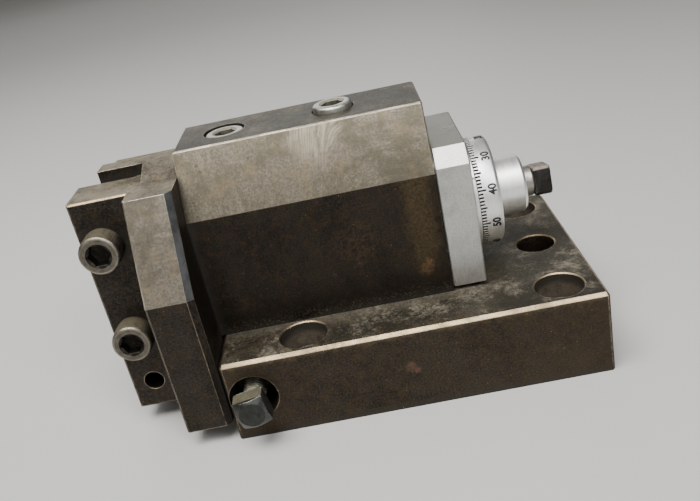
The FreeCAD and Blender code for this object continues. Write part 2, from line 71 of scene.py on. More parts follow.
class Graph:
    """A material's node tree, with short calls for the nodes used here. Lengths are in mm."""

    def __init__(self, name):
        self.material = bpy.data.materials.new(name)
        self.material.use_nodes = True
        self.tree = self.material.node_tree
        self.tree.nodes.clear()
        self.output = self.tree.nodes.new("ShaderNodeOutputMaterial")
        self.shader = self.tree.nodes.new("ShaderNodeBsdfPrincipled")
        self.link(self.shader.outputs[0], self.output.inputs["Surface"])
        coords = self.tree.nodes.new("ShaderNodeTexCoord")
        self.mm = self.vector_math("SCALE", coords.outputs["Object"], scale=1.0 / MM)
        split = self.tree.nodes.new("ShaderNodeSeparateXYZ")
        self.link(self.mm, split.inputs[0])
        self.x, self.y, self.z = split.outputs

    def link(self, source, target):
        self.tree.links.new(source, target)

    def feed(self, value, socket):
        """Link a socket, or set a constant."""
        if isinstance(value, bpy.types.NodeSocket):
            self.link(value, socket)
        elif isinstance(value, (tuple, list)) and len(value) == 3 and socket.type == "RGBA":
            socket.default_value = (*value, 1.0)
        else:
            socket.default_value = value

    def math(self, operation, a, b=0.0, c=None):
        """One arithmetic step on numbers."""
        node = self.tree.nodes.new("ShaderNodeMath")
        node.operation = operation
        self.feed(a, node.inputs[0])
        self.feed(b, node.inputs[1])
        if c is not None:
            self.feed(c, node.inputs[2])
        return node.outputs[0]

    def vector_math(self, operation, a, b=None, scale=None):
        """One arithmetic step on vectors."""
        node = self.tree.nodes.new("ShaderNodeVectorMath")
        node.operation = operation
        self.feed(a, node.inputs[0])
        if b is not None:
            self.feed(b, node.inputs[1])
        if scale is not None:
            node.inputs["Scale"].default_value = scale
        return node.outputs["Value" if operation in SCALAR_RESULTS else 0]

    def smooth(self, value, low, high, out_low=0.0, out_high=1.0):
        """Smoothstep from low to high."""
        node = self.tree.nodes.new("ShaderNodeMapRange")
        node.interpolation_type = "SMOOTHSTEP"
        limits = {"From Min": low, "From Max": high, "To Min": out_low, "To Max": out_high}
        for key, number in limits.items():
            node.inputs[key].default_value = number
        self.feed(value, node.inputs["Value"])
        return node.outputs["Result"]

    def mix(self, factor, a, b):
        """Mix of two colours."""
        node = self.tree.nodes.new("ShaderNodeMix")
        node.data_type = "RGBA"
        self.feed(factor, node.inputs["Factor"])
        self.feed(a, node.inputs[6])
        self.feed(b, node.inputs[7])
        return node.outputs[2]

    def blend(self, factor, a, b):
        """Mix of two numbers."""
        node = self.tree.nodes.new("ShaderNodeMix")
        node.data_type = "FLOAT"
        self.feed(factor, node.inputs["Factor"])
        self.feed(a, node.inputs[2])
        self.feed(b, node.inputs[3])
        return node.outputs[0]

    def stretch(self, sx, sy, sz):
        """Position scaled on each axis, which draws a pattern out along the small ones."""
        return self.vector_math("MULTIPLY", self.mm, (sx, sy, sz))

    def shifted(self, x, y, z):
        """Position moved away, for a noise that is unlike the others."""
        return self.vector_math("ADD", self.mm, (x, y, z))

    def join(self, x, y, z):
        """Vector from three numbers."""
        node = self.tree.nodes.new("ShaderNodeCombineXYZ")
        for value, socket in zip((x, y, z), node.inputs):
            self.feed(value, socket)
        return node.outputs[0]

    def noise(self, size, detail=4.0, rough=0.55, vector=None, warp=0.0):
        """Noise between 0 and 1 whose features are about size mm across."""
        node = self.tree.nodes.new("ShaderNodeTexNoise")
        node.inputs["Scale"].default_value = 1.0 / size
        node.inputs["Detail"].default_value = detail
        node.inputs["Roughness"].default_value = rough
        node.inputs["Distortion"].default_value = warp
        self.link(vector or self.mm, node.inputs["Vector"])
        return node.outputs["Fac"]

    def cells(self, size):
        """Distance to the nearest of many scattered points, in cells of size mm."""
        node = self.tree.nodes.new("ShaderNodeTexVoronoi")
        node.inputs["Scale"].default_value = 1.0 / size
        self.link(self.mm, node.inputs["Vector"])
        return node.outputs["Distance"]

    def rounded(self, radius):
        """Normal that rounds the corners off by radius mm."""
        bevel = self.tree.nodes.new("ShaderNodeBevel")
        bevel.samples = BEVEL_SAMPLES
        bevel.inputs["Radius"].default_value = radius * MM
        return bevel.outputs[0]

    def normal(self):
        return self.tree.nodes.new("ShaderNodeNewGeometry").outputs["Normal"]

    def edges(self, radius):
        """1 along corners within radius mm, 0 on flat faces."""
        same = self.vector_math("DOT_PRODUCT", self.rounded(radius), self.normal())
        return self.smooth(self.math("SUBTRACT", 1.0, same), 0.02, 0.12)

    def facing_up(self):
        """1 on faces that look up, -1 on faces that look down."""
        return self.vector_math("DOT_PRODUCT", self.normal(), (0.0, 0.0, 1.0))

    def openness(self, distance):
        """1 in the open, towards 0 in corners."""
        node = self.tree.nodes.new("ShaderNodeAmbientOcclusion")
        node.samples = OCCLUSION_SAMPLES
        node.inputs["Distance"].default_value = distance * MM
        return node.outputs["AO"]

    def bump(self, height, depth, normal=None):
        """Normal from a height of 0..1 that is depth mm deep."""
        node = self.tree.nodes.new("ShaderNodeBump")
        node.inputs["Strength"].default_value = 1.0
        node.inputs["Distance"].default_value = depth * MM
        self.link(height, node.inputs["Height"])
        if normal is not None:
            self.link(normal, node.inputs["Normal"])
        return node.outputs[0]

    def finish(self, color, roughness, metallic=1.0, normal=None):
        """Feed the shader, and give the material."""
        self.feed(color, self.shader.inputs["Base Color"])
        self.feed(roughness, self.shader.inputs["Roughness"])
        self.feed(metallic, self.shader.inputs["Metallic"])
        if normal is not None:
            self.link(normal, self.shader.inputs["Normal"])
        return self.material


def any_of(graph, *masks):
    """The largest of the masks."""
    total = masks[0]
    for mask in masks[1:]:
        total = graph.math("MAXIMUM", total, mask)
    return total


def both(graph, *masks):
    """The product of the masks."""
    total = masks[0]
    for mask in masks[1:]:
        total = graph.math("MULTIPLY", total, mask)
    return total


def tint(tone, *factors):
    """Colour times one factor, or times a factor for each channel."""
    if len(factors) == 1:
        factors = factors * 3
    return tuple(channel * factor for channel, factor in zip(tone, factors))


# ---------------------------------------------------------------- materials

DUST = (0.185, 0.163, 0.122)
# Near-black of the painted shade in inner corners and recesses.
SHADE_AND_GRIME = (0.016, 0.013, 0.010)

# Places on the CAD pieces, in mm.
BASE_HEIGHT = 22.0
BASE_FRONT_Y = -32.5
BLOCK_FRONT_Y = -17.5
COUNTERBORE_FLOOR = 15.0
COUNTERBORES_WITHIN_X = 46.5
COUNTERBORES_FROM_Y, COUNTERBORES_TO_Y = 17.7, 31.5
NEAR_BLOCK_TOP, NEAR_HEAD_TOP, NEAR_CAP_TOP = 69.0, 60.0, 63.0

WELD_DISTANCE = 0.002
CAD_SMOOTH_ANGLE, LOOK_SMOOTH_ANGLE, DIAL_SMOOTH_ANGLE = 28.0, 32.0, 25.0


def patch(g, place, radius, ragged=0.7, size=1.6):
    """Mask of a ragged spot about a place; size is that of the raggedness, all in mm."""
    apart = g.vector_math("DISTANCE", g.mm, place)
    torn = g.math("MULTIPLY_ADD", g.noise(size, 4.0, 0.65), ragged * radius * 2.0, apart)
    half_way = radius * (1.0 + ragged)
    return g.smooth(torn, half_way * 0.7, half_way * 1.15, 1.0, 0.0)


def dark_steel(name, tone, wear=0.5, wear_radius=0.45, dust=0.0, streak=(1.0, 1.0, 1.0), rust=0.25,
               rough=0.46, extra=None, spark=0.3):
    """Black-oxided steel worn brown: cloudy tone, dark stains, some rust, bright worn corners.

    extra(graph, colour) adds the marks of one place, below the painted shade in corners, the dust
    and the wear.
    """
    g = Graph(name)
    broad = g.noise(13.0, 6.0, 0.68, vector=g.stretch(*streak))
    mottled = g.noise(2.2, 8.0, 0.8, warp=0.4)
    fine = g.noise(0.5, 4.0, 0.85)
    marks = g.noise(0.55, 3.0, 0.6, vector=g.stretch(1.0, 1.0, 0.07))
    color = g.mix(g.smooth(broad, 0.34, 0.66), tint(tone, 0.55), tint(tone, 1.25))
    olive = g.noise(4.5, 8.0, 0.78, vector=g.shifted(71.0, 3.0, 5.0))
    color = g.mix(g.smooth(olive, 0.48, 0.62, 0.0, 0.5), color, tint(tone, 1.3, 1.42, 1.05))
    purple = g.noise(4.0, 8.0, 0.78, vector=g.shifted(31.0, 7.0, 12.0))
    color = g.mix(g.smooth(purple, 0.5, 0.64, 0.0, 0.5), color, tint(tone, 1.15, 0.95, 1.25))
    brown = tint(tone, 2.3, 1.75, 1.1)
    color = g.mix(g.smooth(mottled, 0.46, 0.64, 0.0, 0.6), color, brown)
    color = g.mix(g.smooth(marks, 0.52, 0.78, 0.0, 0.22), color, tint(tone, 1.9))
    color = g.mix(g.smooth(fine, 0.48, 0.66, 0.0, spark * 1.8), color, tint(tone, 3.2))
    color = g.mix(g.smooth(fine, 0.48, 0.33, 0.0, 0.75), color, tint(tone, 0.3))
    rusty = g.noise(5.0, 9.0, 0.75, vector=g.shifted(3.0, 47.0, 19.0))
    rust_mask = g.smooth(rusty, 0.60, 0.72, 0.0, rust)
    color = g.mix(rust_mask, color, (0.12, 0.055, 0.022))
    if extra:
        color = extra(g, color)
    # Painted shade: darker towards inner corners and recesses, found by occlusion; the same mask
    # makes them rough and dull like grime.
    open_near = g.openness(4.0)
    grime_and_shade = g.smooth(open_near, 0.3, 0.95, 0.85, 0.0)
    color = g.mix(grime_and_shade, color, SHADE_AND_GRIME)
    dirty = [grime_and_shade]
    if dust:
        speck = g.noise(0.8, 8.0, 0.85)
        lying = g.noise(9.0, 7.0, 0.72, vector=g.shifted(17.0, 23.0, 3.0))
        amount = g.math("ADD", g.math("MULTIPLY", lying, 0.9), g.math("MULTIPLY", speck, 0.9))
        dusty = g.smooth(amount, 1.05 - 0.42 * dust, 1.25 - 0.30 * dust, 0.0, 0.85)
        color = g.mix(dusty, color, DUST)
        grit = g.smooth(g.noise(0.42, 3.0, 0.8), 0.56, 0.68, 0.0, 0.8)
        color = g.mix(both(g, grit, g.smooth(lying, 0.4, 0.6, 0.2, 1.0)), color, tint(DUST, 1.35))
        dirty.append(dusty)
    specks = both(g, g.smooth(g.cells(1.5), 0.035, 0.085, 1.0, 0.0),
                  g.smooth(g.noise(2.2, 3.0), 0.52, 0.6))
    color = g.mix(both(g, specks, 0.7), color, (0.34, 0.32, 0.27))
    corner = both(g, g.edges(wear_radius), g.smooth(open_near, 0.78, 0.96))
    chips = g.noise(1.4, 6.0, 0.72, vector=g.shifted(11.0, 5.0, 3.0))
    worn = both(g, corner, g.smooth(chips, 0.66 - 0.34 * wear, 0.76 - 0.26 * wear))
    color = g.mix(worn, color, (0.50, 0.42, 0.31))
    roughness = g.blend(g.smooth(mottled, 0.3, 0.75), rough - 0.05, rough + 0.14)
    roughness = g.blend(any_of(g, *dirty), roughness, 0.75)
    roughness = g.blend(worn, roughness, 0.32)
    metal = g.blend(any_of(g, rust_mask, *dirty), 0.85, 0.1)
    relief = g.math("ADD", g.math("MULTIPLY", fine, 0.8), g.math("MULTIPLY", mottled, 0.6))
    normal = g.bump(relief, 0.045, g.rounded(0.28))
    return g.finish(color, roughness, metal, normal)


def ground_steel(name, tone, centre=(2.0, 45.0), straight_until=-30.0, depth=0.006, pit_places=(),
                 line_contrast=0.16, shine=None):
    """Ground face: fine wheel marks, straight at the left, turning into arcs about centre (x, z).

    shine is the place of a painted sheen, a brighter fan of marks; pit_places are places and sizes
    of rust pits.
    """
    g = Graph(name)
    cx, cz = centre
    dx = g.math("SUBTRACT", g.x, cx)
    dz = g.math("MULTIPLY", g.math("SUBTRACT", g.z, cz), 1.1)
    radius = g.math("SQRT", g.math("ADD", g.math("MULTIPLY", dx, dx), g.math("MULTIPLY", dz, dz)))
    turned = g.smooth(g.x, straight_until, straight_until + 22.0)
    across = g.blend(turned, g.math("SUBTRACT", 60.0, g.x), radius)
    lane = g.math("ADD", across, g.math("MULTIPLY", g.noise(14.0, 2.0), 1.2))
    broken = g.math("MULTIPLY", g.z, 0.16)
    lines_fine = g.noise(0.22, 3.0, 0.7, vector=g.join(lane, broken, 0.0))
    lines_wide = g.noise(0.9, 5.0, 0.7, vector=g.join(lane, broken, 5.0))
    cloud = g.noise(9.0, 7.0, 0.72, warp=0.4)
    shown = g.smooth(cloud, 0.36, 0.58, 0.1, 0.5)
    color = g.mix(g.smooth(lines_fine, 0.36, 0.64), tint(tone, 1.0 - line_contrast),
                  tint(tone, 1.0 + line_contrast))
    color = g.mix(both(g, shown, g.smooth(lines_wide, 0.46, 0.68)), color, tint(tone, 1.45))
    grain = g.noise(0.6, 6.0, 0.8)
    color = g.mix(g.smooth(grain, 0.42, 0.60, 0.0, 0.7), color, tint(tone, 0.5))
    color = g.mix(g.smooth(grain, 0.42, 0.30, 0.0, 0.6), color, tint(tone, 1.5))
    stain = g.noise(10.0, 8.0, 0.75, vector=g.shifted(9.0, 31.0, 14.0))
    color = g.mix(g.smooth(stain, 0.45, 0.60, 0.0, 0.75), color, tint(tone, 0.52, 0.53, 0.49))
    warm = g.noise(7.0, 8.0, 0.8, vector=g.shifted(43.0, 3.0, 8.0))
    color = g.mix(g.smooth(warm, 0.5, 0.64, 0.0, 0.5), color, tint(tone, 1.15, 1.0, 0.78))
    if shine:
        # Painted sheen: the marks about shine are brightened, standing for light caught along them.
        bright = both(g, patch(g, shine, 7.0, 0.9, 5.0), g.smooth(lines_wide, 0.36, 0.62, 0.1, 0.9))
        color = g.mix(bright, color, tint(tone, 1.75))
    pits = both(g, g.smooth(g.noise(1.0, 5.0, 0.8), 0.62, 0.70),
                g.smooth(g.noise(12.0, 2.0), 0.42, 0.6))
    for place, size in pit_places:
        pits = any_of(g, pits, patch(g, place, size, 0.6, 0.7))
    color = g.mix(both(g, pits, 0.75), color, (0.095, 0.075, 0.055))
    color = g.mix(g.smooth(g.cells(3.0), 0.03, 0.09, 0.5, 0.0), color, (0.12, 0.10, 0.085))
    open_near = g.openness(2.0)
    corner = both(g, g.edges(0.3), g.smooth(open_near, 0.85, 0.98),
                  g.smooth(g.noise(1.8, 4.0, 0.7), 0.34, 0.5))
    color = g.mix(both(g, corner, 0.9), color, (0.86, 0.82, 0.74))
    # Painted shade: darker in inner corners and recesses, found by occlusion.
    color = g.mix(g.smooth(open_near, 0.4, 0.95, 0.7, 0.0), color, (0.04, 0.032, 0.025))
    roughness = g.blend(g.smooth(lines_wide, 0.3, 0.7), 0.38, 0.50)
    relief = g.math("ADD", g.math("MULTIPLY", lines_fine, 0.7), g.math("MULTIPLY", grain, 0.8))
    normal = g.bump(relief, depth, g.rounded(0.2))
    return g.finish(color, roughness, g.blend(pits, 0.92, 0.4), normal)


def bright_steel(name, tone, rough=0.34, stain=0.3, edge=(0.85, 0.83, 0.8), settled=0.0,
                 settled_color=DUST, edge_radius=0.2):
    """Zinc or bare steel: cloudy grey, stains, painted shade in its corners, bright rims, dirt
    lying on top.
    """
    g = Graph(name)
    cloud = g.noise(1.8, 5.0, 0.6, warp=0.5)
    fine = g.noise(0.22, 3.0, 0.7)
    color = g.mix(g.smooth(cloud, 0.3, 0.72), tint(tone, 0.66), tint(tone, 1.15))
    spotty = g.noise(1.1, 6.0, 0.7, vector=g.shifted(5.0, 9.0, 2.0))
    stained = g.smooth(spotty, 0.5, 0.72, 0.0, stain)
    color = g.mix(stained, color, (0.14, 0.11, 0.075))
    dirty = [stained]
    if settled:
        patchy = g.smooth(g.noise(1.3, 5.0, 0.7), 0.3, 0.6, 0.3, settled)
        lying = both(g, g.smooth(g.facing_up(), 0.25, 0.8), patchy)
        color = g.mix(lying, color, settled_color)
        dirty.append(lying)
    open_near = g.openness(1.5)
    # Painted shade: darker in inner corners and recesses, found by occlusion.
    grime_and_shade = g.smooth(open_near, 0.2, 0.9, 0.88, 0.0)
    color = g.mix(grime_and_shade, color, (0.022, 0.019, 0.016))
    corner = both(g, g.edges(edge_radius), g.smooth(open_near, 0.75, 0.95),
                  g.smooth(g.noise(0.9, 3.0), 0.35, 0.6))
    color = g.mix(corner, color, edge)
    roughness = g.blend(g.smooth(cloud, 0.3, 0.7), rough, rough + 0.14)
    dull = any_of(g, grime_and_shade, *dirty)
    roughness = g.blend(dull, roughness, 0.7)
    normal = g.bump(g.math("ADD", fine, g.math("MULTIPLY", cloud, 0.5)), 0.02, g.rounded(0.1))
    return g.finish(color, roughness, g.blend(dull, 1.0, 0.3), normal)


def worn_edge(name, tone):
    """Chamfer rubbed bright, with dark nicks."""
    g = Graph(name)
    nick = g.noise(1.1, 6.0, 0.75, vector=g.stretch(1.0, 0.6, 0.6))
    rubbed = g.noise(6.0, 4.0, 0.6)
    fine = g.noise(0.3, 3.0, 0.7)
    color = g.mix(g.smooth(rubbed, 0.3, 0.62), tint(tone, 0.62), tint(tone, 1.25))
    color = g.mix(g.smooth(nick, 0.58, 0.68, 0.0, 0.85), color, (0.11, 0.085, 0.055))
    color = g.mix(g.smooth(fine, 0.5, 0.8, 0.0, 0.4), color, tint(tone, 0.5))
    relief = g.math("ADD", g.math("MULTIPLY", nick, 1.5), fine)
    return g.finish(color, g.blend(fine, 0.30, 0.48), 0.95, g.bump(relief, 0.06, g.rounded(0.3)))


def dirt(name, tone=DUST, dark_above=None):
    """Dust and fine swarf lying on a floor or sticking to a bore, darker above a height."""
    g = Graph(name)
    speck = g.noise(0.5, 7.0, 0.8)
    lump = g.noise(2.5, 5.0, 0.7)
    color = g.mix(g.smooth(lump, 0.35, 0.65), tint(tone, 0.35), tone)
    color = g.mix(g.smooth(speck, 0.35, 0.7, 0.0, 0.7), color, tint(tone, 1.3))
    if dark_above:
        height = g.math("MULTIPLY_ADD", lump, 4.0, g.z)
        shaded = g.smooth(height, dark_above, dark_above + 2.2, 0.0, 0.9)
        color = g.mix(shaded, color, tint(tone, 0.16))
    # Painted shade: darker in inner corners and recesses, found by occlusion.
    color = g.mix(g.smooth(g.openness(2.5), 0.25, 0.8, 0.75, 0.0), color, (0.03, 0.025, 0.018))
    return g.finish(color, 0.85, 0.1, g.bump(g.math("ADD", speck, lump), 0.12))


def aluminium(name, tone, rough=0.42, turned=False, blotch=0.3):
    """Satin aluminium: fine milling marks along the face, or rings about the feed axis."""
    g = Graph(name)
    if turned:
        lane = g.join(g.x, g.math("MULTIPLY", g.y, 0.02), g.math("MULTIPLY", g.z, 0.02))
    else:
        lane = g.stretch(0.5, 1.0, 0.05)
    marks = g.noise(0.12, 2.0, 0.6, vector=lane)
    cloud = g.noise(5.0, 5.0, 0.65)
    grain = g.noise(0.5, 5.0, 0.8)
    color = g.mix(g.smooth(marks, 0.3, 0.7), tint(tone, 0.9), tint(tone, 1.07))
    color = g.mix(g.smooth(cloud, 0.45, 0.75, 0.0, blotch), color, tint(tone, 0.62))
    color = g.mix(g.smooth(grain, 0.50, 0.68, 0.0, blotch * 1.3), color, (0.22, 0.205, 0.17))
    color = g.mix(g.smooth(grain, 0.42, 0.32, 0.0, blotch), color, tint(tone, 1.3))
    open_near = g.openness(1.6)
    # Painted shade: darker in inner corners and recesses, found by occlusion.
    grime_and_shade = g.smooth(open_near, 0.35, 0.92, 0.75, 0.0)
    color = g.mix(grime_and_shade, color, (0.07, 0.062, 0.05))
    corner = both(g, g.edges(0.25), g.smooth(open_near, 0.8, 0.96))
    color = g.mix(both(g, corner, 0.75), color, (0.9, 0.9, 0.88))
    roughness = g.blend(g.smooth(marks, 0.3, 0.7), rough - 0.03, rough + 0.07)
    normal = g.bump(marks, 0.006, g.rounded(0.2))
    return g.finish(color, roughness, g.blend(grime_and_shade, 1.0, 0.5), normal)


def plain(name, tone, rough, metallic=1.0, size=0.8):
    """Even material with a faint cloud of size mm, for the small inner pieces."""
    g = Graph(name)
    cloud = g.noise(size, 4.0, 0.6)
    color = g.mix(g.smooth(cloud, 0.3, 0.7), tint(tone, 0.8), tint(tone, 1.12))
    roughness = g.blend(cloud, rough - 0.05, rough + 0.08)
    return g.finish(color, roughness, metallic, g.bump(cloud, 0.01, g.rounded(0.15)))


def base_front_marks(g, color):
    """Sides of the base: browner towards both ends and the top, one pink rust spot in front."""
    ragged = g.math("MULTIPLY_ADD", g.noise(6.0, 7.0, 0.7), 34.0, g.x)
    warm = any_of(g, g.smooth(ragged, 26.0, 62.0), g.smooth(ragged, -6.0, -30.0))
    color = g.mix(both(g, warm, 0.3), color, (0.070, 0.050, 0.029))
    rim = g.math("MULTIPLY_ADD", g.noise(2.2, 6.0, 0.7), 5.0, g.z)
    color = g.mix(both(g, g.smooth(rim, 22.2, 24.2), 0.5), color, (0.13, 0.10, 0.062))
    spot = any_of(g, patch(g, (-1.8, BASE_FRONT_Y, 11.9), 1.5, 1.0, 0.9),
                  patch(g, (-0.4, BASE_FRONT_Y, 10.8), 1.0, 1.0, 0.9))
    spot = both(g, spot, g.smooth(g.noise(0.7, 5.0, 0.8), 0.36, 0.56, 0.2, 0.75))
    return g.mix(spot, color, (0.135, 0.078, 0.055))


def base_top_marks(g, color):
    """Top of the base: grit along the block's foot, oily patches in front, olive at the right."""
    near_block = g.math("ADD", g.y, g.math("MULTIPLY", g.noise(4.0, 6.0, 0.7), 6.0))
    strip = g.smooth(near_block, -20.0, -16.5)
    grain = g.noise(0.6, 6.0, 0.85)
    color = g.mix(both(g, strip, g.smooth(grain, 0.42, 0.6, 0.15, 0.9)), color, DUST)
    oil_places = ((-17.0, -26.5, 3.4), (-11.0, -26.0, 4.0), (-4.0, -25.5, 4.2), (3.0, -25.0, 4.0),
                  (9.0, -24.6, 4.2), (15.0, -24.6, 3.0))
    oil = any_of(g, *(patch(g, (x, y, BASE_HEIGHT), size, 0.9, 3.0) for x, y, size in oil_places))
    color = g.mix(both(g, oil, 0.8), color, (0.036, 0.034, 0.027))
    olive = patch(g, (25.0, -10.0, BASE_HEIGHT), 6.0, 0.9, 4.0)
    color = g.mix(both(g, olive, g.smooth(grain, 0.4, 0.6, 0.3, 0.8)), color, (0.19, 0.165, 0.095))
    cool = g.smooth(g.math("MULTIPLY_ADD", g.noise(8.0, 7.0, 0.75), 30.0, g.x), 26.0, 44.0)
    return g.mix(both(g, cool, 0.72), color, (0.044, 0.041, 0.034))


def block_front_marks(g, color):
    """Front of the block: brown band near the right end, rust at its foot, grit and painted shade
    at the bottom.
    """
    front = g.smooth(g.y, -14.0, -16.0)
    wander = g.math("MULTIPLY_ADD", g.noise(4.0, 7.0, 0.75), 9.0, g.x)
    band = both(g, front, g.smooth(wander, 7.0, 10.5), g.smooth(wander, 13.5, 16.5, 1.0, 0.0),
                g.smooth(g.z, 24.0, 36.0))
    broken = g.smooth(g.noise(0.8, 6.0, 0.8), 0.38, 0.6, 0.2, 0.7)
    color = g.mix(both(g, band, broken), color, (0.088, 0.064, 0.031))
    rust = any_of(g, patch(g, (6.7, BLOCK_FRONT_Y, 29.6), 1.8, 1.0, 1.1),
                  patch(g, (7.6, BLOCK_FRONT_Y, 31.0), 1.5, 1.0, 1.1))
    rust = both(g, rust, g.smooth(g.noise(0.8, 5.0, 0.8), 0.36, 0.56, 0.15, 0.75))
    color = g.mix(rust, color, (0.15, 0.088, 0.045))
    warm = any_of(g, patch(g, (-9.0, BLOCK_FRONT_Y, 40.0), 6.5, 0.9, 4.0),
                  patch(g, (-40.0, BLOCK_FRONT_Y, 29.0), 3.5, 0.9, 3.0))
    warm = both(g, warm, g.smooth(g.noise(1.0, 6.0, 0.8), 0.42, 0.6, 0.0, 0.35))
    color = g.mix(warm, color, (0.080, 0.053, 0.032))
    low = both(g, g.smooth(g.z, 27.0, 22.5), g.smooth(g.noise(0.6, 6.0, 0.85), 0.52, 0.64))
    # Painted shade: darker towards the bottom, where the block meets the base.
    color = g.mix(both(g, g.smooth(g.z, 33.0, 23.0), 0.5), color, (0.022, 0.019, 0.014))
    return g.mix(both(g, low, 0.85), color, (0.18, 0.16, 0.12))


BASE_TOP = dark_steel("base_top_steel", tone=(0.052, 0.046, 0.035), wear=0.9, wear_radius=0.5,
                      dust=0.40, rust=0.15, rough=0.55, extra=base_top_marks)
BASE_SIDE = dark_steel("base_side_steel", tone=(0.031, 0.0255, 0.0195), wear=0.85, wear_radius=0.6,
                       extra=base_front_marks)
BLOCK_SIDE = dark_steel("block_side_steel", tone=(0.021, 0.0172, 0.0138), wear=0.4, rust=0.4,
                        streak=(1.0, 1.0, 0.55), extra=block_front_marks, spark=0.22)
BLOCK_TOP = dark_steel("block_top_steel", tone=(0.050, 0.049, 0.042), wear=0.8, dust=0.36,
                       rust=0.05, rough=0.5)
HEAD_SIDE = dark_steel("head_side_steel", tone=(0.026, 0.0225, 0.0188), wear=0.95, rust=0.35,
                       streak=(1.0, 1.0, 0.6))
HEAD_TOP = dark_steel("head_top_steel", tone=(0.100, 0.087, 0.066), wear=0.8, dust=0.75,
                      rust=0.1, rough=0.6)
GROUND = ground_steel("ground_steel", tone=(0.295, 0.262, 0.205), shine=(-14.0, -11.3, 67.5),
                      pit_places=(((-43.0, -12.0, 66.0), 0.5), ((-42.4, -12.8, 64.6), 0.45),
                                  ((-45.6, -15.6, 58.3), 0.35), ((-45.2, -15.9, 57.5), 0.35),
                                  ((-30.4, -12.4, 65.5), 0.4)))
GROUND_HEAD = ground_steel("ground_head_steel", tone=(0.30, 0.267, 0.218), centre=(-54.0, -120.0),
                           straight_until=-200.0, depth=0.003, line_contrast=0.05)
EDGE = worn_edge("worn_edge_steel", tone=(0.36, 0.275, 0.175))
PALE_EDGE = worn_edge("pale_edge_steel", tone=(0.44, 0.395, 0.32))
# Worn chamfer on the head's right side; its pale blue-grey is partly a painted reflection of cool
# light.
BLUE_SHEEN_EDGE = worn_edge("side_edge_steel", tone=(0.155, 0.16, 0.165))
SWARF = dirt("settled_dirt")
BORE = dirt("dirty_bore", tone=(0.085, 0.067, 0.046), dark_above=20.2)
ZINC = bright_steel("zinc_steel", tone=(0.60, 0.585, 0.53), stain=0.55)
RIM = worn_edge("screw_rim_steel", tone=(0.235, 0.21, 0.17))
DIRTY_SOCKET = bright_steel("dirty_socket_steel", tone=(0.20, 0.19, 0.155), rough=0.55, stain=0.6,
                            edge=(0.5, 0.48, 0.42), settled=0.9, settled_color=(0.26, 0.24, 0.19))
BOLT_ZINC = bright_steel("bolt_zinc_steel", tone=(0.105, 0.102, 0.092), rough=0.4, stain=0.4,
                         edge=(0.75, 0.75, 0.70), edge_radius=0.3,
                         settled=0.8, settled_color=(0.155, 0.14, 0.085))
BOLT_CROWN_STEEL = bright_steel("bolt_crown_steel", tone=(0.078, 0.080, 0.077), rough=0.3,
                                edge=(0.75, 0.75, 0.72), edge_radius=0.3)
BOLT_FACE = bright_steel("bolt_face_steel", tone=(0.052, 0.054, 0.052), rough=0.46, stain=0.15,
                         edge=(0.16, 0.165, 0.16))
WORN_SCREW = bright_steel("worn_screw_steel", tone=(0.145, 0.131, 0.110), rough=0.42, stain=0.5,
                          edge=(0.36, 0.32, 0.26), edge_radius=0.3,
                          settled=0.8, settled_color=(0.125, 0.105, 0.062))
# Socket walls much darker than the screw heads: painted shade deep in the sockets.
SHADED_SOCKET = bright_steel("socket_steel", tone=(0.030, 0.027, 0.023), rough=0.5, stain=0.4,
                      edge=(0.16, 0.15, 0.13))
DARK_SCREW = bright_steel("dark_screw_steel", tone=(0.07, 0.068, 0.064), rough=0.4, stain=0.25,
                          edge=(0.4, 0.38, 0.36))
MACHINED = bright_steel("machined_steel", tone=(0.42, 0.40, 0.37), rough=0.33, stain=0.25)
SQUARE_STEEL = bright_steel("square_steel", tone=(0.048, 0.045, 0.043), rough=0.4, stain=0.2,
                            edge=(0.5, 0.45, 0.38), edge_radius=0.3,
                            settled=0.75, settled_color=(0.33, 0.29, 0.24))
PLATE_ALU = aluminium("plate_aluminium", tone=(0.53, 0.535, 0.515), blotch=0.5)
PLATE_TOP = aluminium("plate_top_aluminium", tone=(0.27, 0.27, 0.235), blotch=0.6)
TURNED_ALU = aluminium("turned_aluminium", tone=(0.96, 0.96, 0.95), rough=0.40, turned=True,
                       blotch=0.1)
BRONZE = plain("bearing_bronze", (0.55, 0.38, 0.18), 0.36)
RUBBER = plain("nitrile_rubber", (0.03, 0.03, 0.03), 0.7, metallic=0.0)
INK = plain("engraving_ink", (0.008, 0.008, 0.009), 0.7, metallic=0.0, size=0.3)


def paint(name, *materials, rule=None):
    """Give a CAD node its materials; rule(normal, centre in mm) picks one of them for each face."""
    mesh = NODES[name].data
    mesh.materials.clear()
    for material in materials:
        mesh.materials.append(material)
    for polygon in mesh.polygons:
        chosen = rule(polygon.normal, polygon.center / MM) if rule else materials[0]
        polygon.material_index = materials.index(chosen)


def soften(name):
    """Shade round faces smoothly and keep sharp corners sharp."""
    node = NODES[name]
    if node.data.has_custom_normals:
        node.data.attributes.remove(node.data.attributes["custom_normal"])
    node.data.polygons.foreach_set("use_smooth", [True] * len(node.data.polygons))
    weld = node.modifiers.new("weld", "WELD")
    weld.merge_threshold = WELD_DISTANCE * MM
    split = node.modifiers.new("split", "EDGE_SPLIT")
    split.split_angle = math.radians(CAD_SMOOTH_ANGLE)


def base_rule(n, c):
    """Top, counterbore floors, chamfers but the rear one, counterbore walls, and the sides."""
    near_top = c.z > BASE_HEIGHT - 1.0
    if n.z > 0.95 and near_top:
        return BASE_TOP
    if n.z > 0.95 and abs(c.z - COUNTERBORE_FLOOR) < 1.0:
        return SWARF
    if n.z > 0.5 and near_top and max(abs(n.x), abs(n.y)) > 0.5 and n.y < 0.5:
        return EDGE
    in_row = COUNTERBORES_FROM_Y < abs(c.y) < COUNTERBORES_TO_Y and abs(c.x) < COUNTERBORES_WITHIN_X
    if abs(n.z) < 0.1 and COUNTERBORE_FLOOR < c.z < BASE_HEIGHT and in_row:
        return BORE
    return BASE_SIDE


